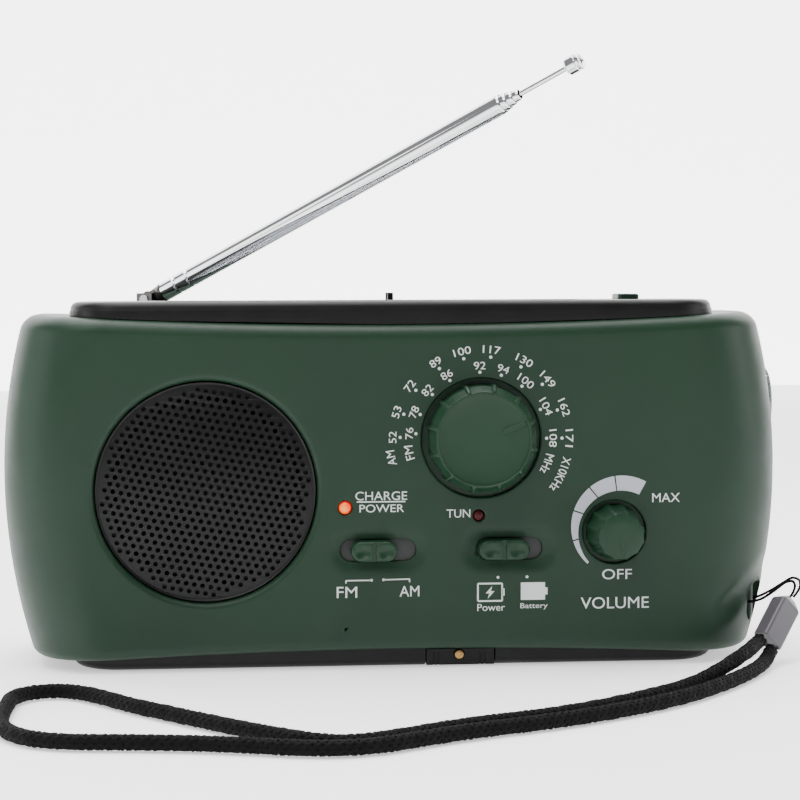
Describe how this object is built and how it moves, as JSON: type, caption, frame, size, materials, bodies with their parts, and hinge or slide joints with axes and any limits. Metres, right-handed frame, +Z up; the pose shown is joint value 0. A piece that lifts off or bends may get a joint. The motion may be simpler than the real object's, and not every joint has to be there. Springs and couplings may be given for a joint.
{
  "type": "emergency radio",
  "caption": "Portable emergency radio in a green case with telescopic antenna, speaker, tuning and volume knobs, solar top, folding dynamo crank, side light and wrist strap.",
  "frame": {"origin": "centre of the base's underside, on the ground", "axes": "+X to the right as seen from the front, +Y from the front face to the back, +Z up"},
  "size_m": [0.1824, 0.1451, 0.1369],
  "materials": {
    "cabinet_green": "satin",
    "knob_green": "satin",
    "black_plastic": "satin",
    "dark_mesh": "satin",
    "chrome": "polished",
    "steel": "satin",
    "brass": "satin",
    "solar_cell": "gloss",
    "clear_plastic": "gloss",
    "orange_lens": "gloss",
    "red_lens": "gloss",
    "circuit_board": "matte",
    "speaker_paper": "matte",
    "ferrite": "matte",
    "copper_wire": "satin",
    "nylon": "matte",
    "cell_wrap": "gloss",
    "rubber": "matte",
    "cord": "woven",
    "ferrule_grey": "gloss",
    "white_print": "satin"
  },
  "bodies": {
    "cabinet": {"front_cabinet": "cabinet_green", "rear_cabinet": "cabinet_green", "cabinet_screw_1": "steel", "cabinet_screw_2": "steel", "cabinet_screw_3": "steel", "cabinet_screw_4": "steel", "top_cover": "black_plastic", "solar_cell": "solar_cell", "solar_window": "clear_plastic", "button_switch": "black_plastic", "base": "black_plastic", "dry_cell_1": "cell_wrap", "dry_cell_2": "cell_wrap", "dry_cell_3": "cell_wrap", "speaker_grille": "dark_mesh", "speaker_frame": "steel", "speaker_cone": "speaker_paper", "tuning_capacitor": "nylon", "volume_control": "steel", "band_switch": "steel", "source_switch": "steel", "charge_led": "orange_lens", "tuning_led": "red_lens", "main_board": "circuit_board", "ferrite_rod": "ferrite", "ferrite_coil": "copper_wire", "dynamo": "steel", "gear_bracket": "steel", "rechargeable_pack": "cell_wrap", "light_reflector": "chrome", "light_lens": "clear_plastic", "light_led": "clear_plastic", "jack_block": "black_plastic", "antenna_clip": "black_plastic", "ferrule": "ferrule_grey", "lanyard_thread": "cord", "wrist_strap": "cord"},
    "tuning_knob": {"tuning_knob": "knob_green"},
    "volume_knob": {"volume_knob": "knob_green"},
    "band_switch_cap": {"band_switch_cap": "knob_green"},
    "source_switch_cap": {"source_switch_cap": "knob_green"},
    "light_button": {"light_button": "knob_green"},
    "antenna_swivel": {"antenna_swivel": "steel", "antenna_pin": "steel"},
    "antenna_mast": {"antenna_knuckle": "chrome", "antenna_tube_1": "chrome"},
    "antenna_tube_2": {"antenna_tube_2": "chrome"},
    "antenna_tube_3": {"antenna_tube_3": "chrome"},
    "antenna_tube_4": {"antenna_tube_4": "chrome"},
    "antenna_rod": {"antenna_rod": "chrome"},
    "crank": {"crank_arm": "black_plastic", "drive_gear": "nylon", "crank_pin": "steel"},
    "crank_handle": {"crank_handle": "steel"},
    "crank_grip": {"crank_grip": "knob_green"},
    "idler_gear": {"idler_gear": "nylon"},
    "dynamo_rotor": {"dynamo_rotor": "steel"},
    "battery_door": {"battery_door": "black_plastic", "door_screw": "brass"},
    "jack_flap": {"jack_flap": "rubber"}
  },
  "joints": [
    {"name": "tuning_turn", "type": "hinge", "parent": "cabinet", "child": "tuning_knob", "pos_m": [0.0186, -0.0275, 0.0521], "axis": [0, -1, 0], "range_deg": [-20, 160]},
    {"name": "volume_turn", "type": "hinge", "parent": "cabinet", "child": "volume_knob", "pos_m": [0.0489, -0.0275, 0.0305], "axis": [0, -1, 0], "range_deg": [-245, 0]},
    {"name": "band_slide", "type": "slide", "parent": "cabinet", "child": "band_switch_cap", "axis": [1, 0, 0], "range_m": [0, 0.0021]},
    {"name": "source_slide", "type": "slide", "parent": "cabinet", "child": "source_switch_cap", "axis": [1, 0, 0], "range_m": [0, 0.0027]},
    {"name": "light_press", "type": "slide", "parent": "cabinet", "child": "light_button", "axis": [0, 0, 1], "range_m": [-0.0012, 0], "stiffness_N_per_m": 300},
    {"name": "antenna_turn", "type": "hinge", "parent": "cabinet", "child": "antenna_swivel", "pos_m": [-0.0568, 0.02, 0.0832], "axis": [0, 0, 1], "continuous": true},
    {"name": "antenna_tilt", "type": "hinge", "parent": "antenna_swivel", "child": "antenna_mast", "pos_m": [-0.0568, 0.02, 0.0832], "axis": [-0.5417, -0.8406, 0], "range_deg": [-15, 65]},
    {"name": "tube_2_slide", "type": "slide", "parent": "antenna_mast", "child": "antenna_tube_2", "axis": [0.7649, -0.4929, 0.4147], "range_m": [0, 0.082]},
    {"name": "tube_3_slide", "type": "slide", "parent": "antenna_tube_2", "child": "antenna_tube_3", "axis": [0.7649, -0.4929, 0.4147], "range_m": [0, 0.08]},
    {"name": "tube_4_slide", "type": "slide", "parent": "antenna_tube_3", "child": "antenna_tube_4", "axis": [0.7649, -0.4929, 0.4147], "range_m": [0, 0.078]},
    {"name": "rod_slide", "type": "slide", "parent": "antenna_tube_4", "child": "antenna_rod", "axis": [0.7649, -0.4929, 0.4147], "range_m": [-0.012, 0.075]},
    {"name": "crank_turn", "type": "hinge", "parent": "cabinet", "child": "crank", "pos_m": [-0.034, 0.0155, 0.042], "axis": [0, 1, 0], "continuous": true},
    {"name": "handle_fold", "type": "hinge", "parent": "crank", "child": "crank_handle", "pos_m": [-0.034, 0.0233, 0.0175], "axis": [1, 0, 0], "range_deg": [-90, 0]},
    {"name": "grip_spin", "type": "hinge", "parent": "crank_handle", "child": "crank_grip", "pos_m": [-0.034, 0.0233, 0.03], "axis": [0, 0, 1], "continuous": true},
    {"name": "idler_turn", "type": "hinge", "parent": "cabinet", "child": "idler_gear", "pos_m": [-0.0108, 0.009, 0.042], "axis": [0, 1, 0], "continuous": true},
    {"name": "rotor_turn", "type": "hinge", "parent": "cabinet", "child": "dynamo_rotor", "pos_m": [0.0044, 0, 0.042], "axis": [0, 1, 0], "continuous": true},
    {"name": "door_open", "type": "hinge", "parent": "cabinet", "child": "battery_door", "pos_m": [0.0265, 0.016, 0.00095], "axis": [1, 0, 0], "range_deg": [0, 60]},
    {"name": "flap_open", "type": "hinge", "parent": "cabinet", "child": "jack_flap", "pos_m": [0.0894, 0.0118, 0.0424], "axis": [0, 0, 1], "range_deg": [0, 100]}
  ],
  "couplings": [
    {"joint": "idler_turn", "follows": "crank_turn", "ratio": -3.6},
    {"joint": "rotor_turn", "follows": "crank_turn", "ratio": 14.4}
  ]
}
